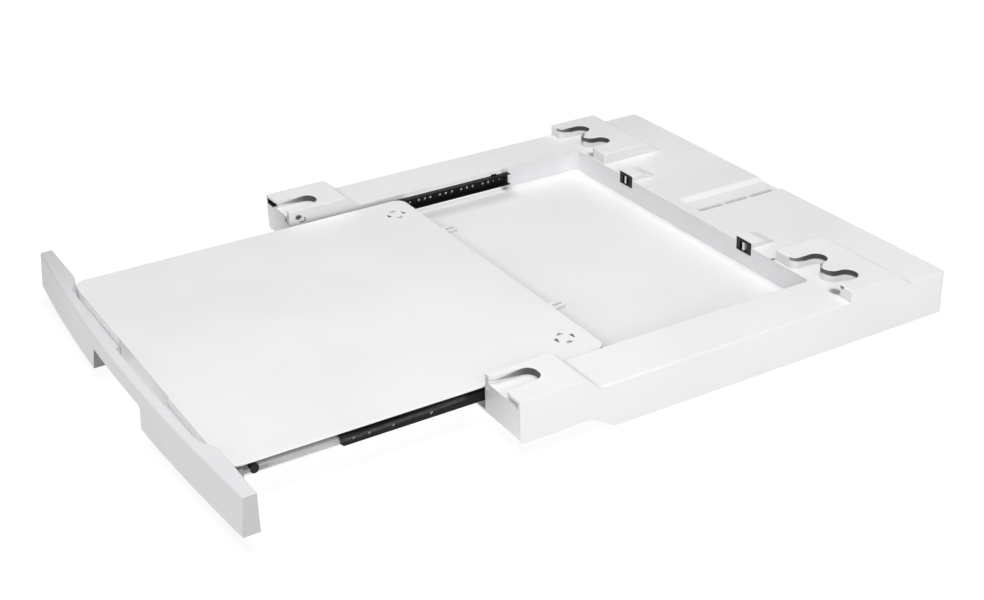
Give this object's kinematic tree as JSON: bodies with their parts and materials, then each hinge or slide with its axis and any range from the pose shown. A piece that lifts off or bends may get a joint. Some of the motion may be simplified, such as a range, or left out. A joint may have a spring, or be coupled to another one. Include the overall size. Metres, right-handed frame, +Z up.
{
  "type": "washer dryer stacking kit",
  "caption": "Moulded tray that seats a dryer on a washer, with foot pockets in four pads, a skirt round the sides and back, and a pull-out shelf on ball-bearing slides.",
  "frame": {"origin": "under the middle of the whole kit with its shelf pulled out as stored, on the level of the skirt's bottom edge", "axes": "+X to the kit's right seen from the front, +Y from the shelf's fascia to the tray's back, +Z up"},
  "size_m": [0.6, 0.8696, 0.064],
  "materials": {
    "white_plastic": "fine matt moulded texture",
    "shelf_plastic": "satin",
    "fascia_plastic": "satin",
    "black_steel": "black electro-coat, satin",
    "zinc_steel": "zinc plated",
    "black_plastic": "satin",
    "black_rubber": "matt",
    "cage_plastic": "satin",
    "screw_steel": "zinc plated"
  },
  "bodies": {
    "tray": {"base_tray": "white_plastic", "catch_right": "black_plastic", "catch_left": "black_plastic", "slide_outer_right": "black_steel", "slide_outer_left": "black_steel", "outer_screw_right_1": "screw_steel", "outer_screw_right_2": "screw_steel", "outer_screw_right_3": "screw_steel", "outer_screw_left_1": "screw_steel", "outer_screw_left_2": "screw_steel", "outer_screw_left_3": "screw_steel"},
    "shelf": {"shelf_board": "shelf_plastic", "fascia": "fascia_plastic", "slide_inner_right": "zinc_steel", "slide_inner_left": "zinc_steel", "bumper_right": "black_rubber", "bumper_left": "black_rubber", "striker_right": "shelf_plastic", "striker_left": "shelf_plastic", "inner_screw_right_1": "screw_steel", "inner_screw_right_2": "screw_steel", "inner_screw_right_3": "screw_steel", "inner_screw_left_1": "screw_steel", "inner_screw_left_2": "screw_steel", "inner_screw_left_3": "screw_steel", "fascia_screw_1": "screw_steel", "fascia_screw_2": "screw_steel", "fascia_screw_3": "screw_steel", "fascia_screw_4": "screw_steel"},
    "middle_right": {"slide_middle_right": "black_steel"},
    "middle_left": {"slide_middle_left": "black_steel"},
    "outer_cage_right": {"cage_outer_right": "cage_plastic"},
    "outer_cage_left": {"cage_outer_left": "cage_plastic"},
    "inner_cage_right": {"cage_inner_right": "cage_plastic"},
    "inner_cage_left": {"cage_inner_left": "cage_plastic"}
  },
  "joints": [
    {"name": "shelf_slide", "type": "slide", "parent": "tray", "child": "shelf", "axis": [0, 1, 0], "range_m": [0, 0.2655]},
    {"name": "middle_slide_right", "type": "slide", "parent": "tray", "child": "middle_right", "axis": [0, 1, 0], "range_m": [0, 0.1833]},
    {"name": "middle_slide_left", "type": "slide", "parent": "tray", "child": "middle_left", "axis": [0, 1, 0], "range_m": [0, 0.1833]},
    {"name": "outer_cage_slide_right", "type": "slide", "parent": "tray", "child": "outer_cage_right", "axis": [0, 1, 0], "range_m": [0, 0.0917]},
    {"name": "outer_cage_slide_left", "type": "slide", "parent": "tray", "child": "outer_cage_left", "axis": [0, 1, 0], "range_m": [0, 0.0917]},
    {"name": "inner_cage_slide_right", "type": "slide", "parent": "tray", "child": "inner_cage_right", "axis": [0, 1, 0], "range_m": [0, 0.2245]},
    {"name": "inner_cage_slide_left", "type": "slide", "parent": "tray", "child": "inner_cage_left", "axis": [0, 1, 0], "range_m": [0, 0.2245]}
  ],
  "couplings": [
    {"joint": "middle_slide_right", "follows": "shelf_slide", "ratio": 0.69},
    {"joint": "middle_slide_left", "follows": "shelf_slide", "ratio": 0.69},
    {"joint": "outer_cage_slide_right", "follows": "shelf_slide", "ratio": 0.345},
    {"joint": "outer_cage_slide_left", "follows": "shelf_slide", "ratio": 0.345},
    {"joint": "inner_cage_slide_right", "follows": "shelf_slide", "ratio": 0.845},
    {"joint": "inner_cage_slide_left", "follows": "shelf_slide", "ratio": 0.845}
  ]
}
